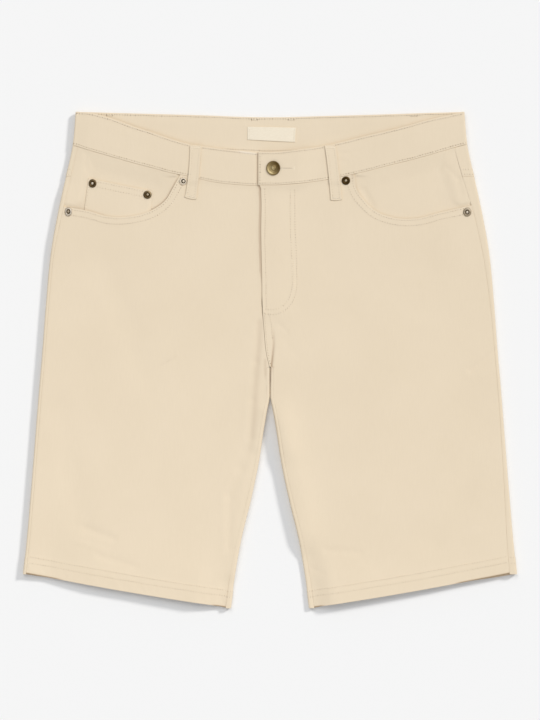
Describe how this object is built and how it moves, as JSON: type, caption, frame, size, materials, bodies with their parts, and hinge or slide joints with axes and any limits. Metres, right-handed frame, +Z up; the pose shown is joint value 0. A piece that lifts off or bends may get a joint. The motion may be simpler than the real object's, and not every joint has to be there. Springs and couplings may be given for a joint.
{
  "type": "bermuda shorts",
  "caption": "Knee-length men's bermuda shorts in cotton twill, laid flat, with a buttoned waistband, zip fly, curved front pockets, belt loops and metal rivets.",
  "frame": {"origin": "middle of the garment's footprint, on the surface it lies on", "axes": "+X towards the wearer's left, +Y towards the waist, +Z up from the surface, out of the front"},
  "size_m": [0.582, 0.5852, 0.0115],
  "materials": {
    "twill": "matt beige cotton twill with tone-on-tone topstitching",
    "zip_tape": "woven zip tape, matt",
    "woven_label": "bare woven label, soft satin",
    "antique_brass": "antiqued brass, dark in the hollows and worn bright on the rims"
  },
  "bodies": {
    "root": {"front_right": "twill", "front_left": "twill", "back_right": "twill", "back_left": "twill", "yoke_right": "twill", "yoke_left": "twill", "waistband": "twill", "pocket_facing_right": "twill", "pocket_facing_left": "twill", "coin_pocket": "twill", "back_pocket_right": "twill", "back_pocket_left": "twill", "belt_loop_1": "twill", "belt_loop_2": "twill", "belt_loop_3": "twill", "belt_loop_4": "twill", "belt_loop_5": "twill", "belt_loop_6": "twill", "zip": "zip_tape", "label": "woven_label", "button": "antique_brass", "rivet_1": "antique_brass", "rivet_2": "antique_brass", "rivet_3": "antique_brass", "rivet_4": "antique_brass", "rivet_5": "antique_brass", "rivet_6": "antique_brass"}
  },
  "joints": []
}
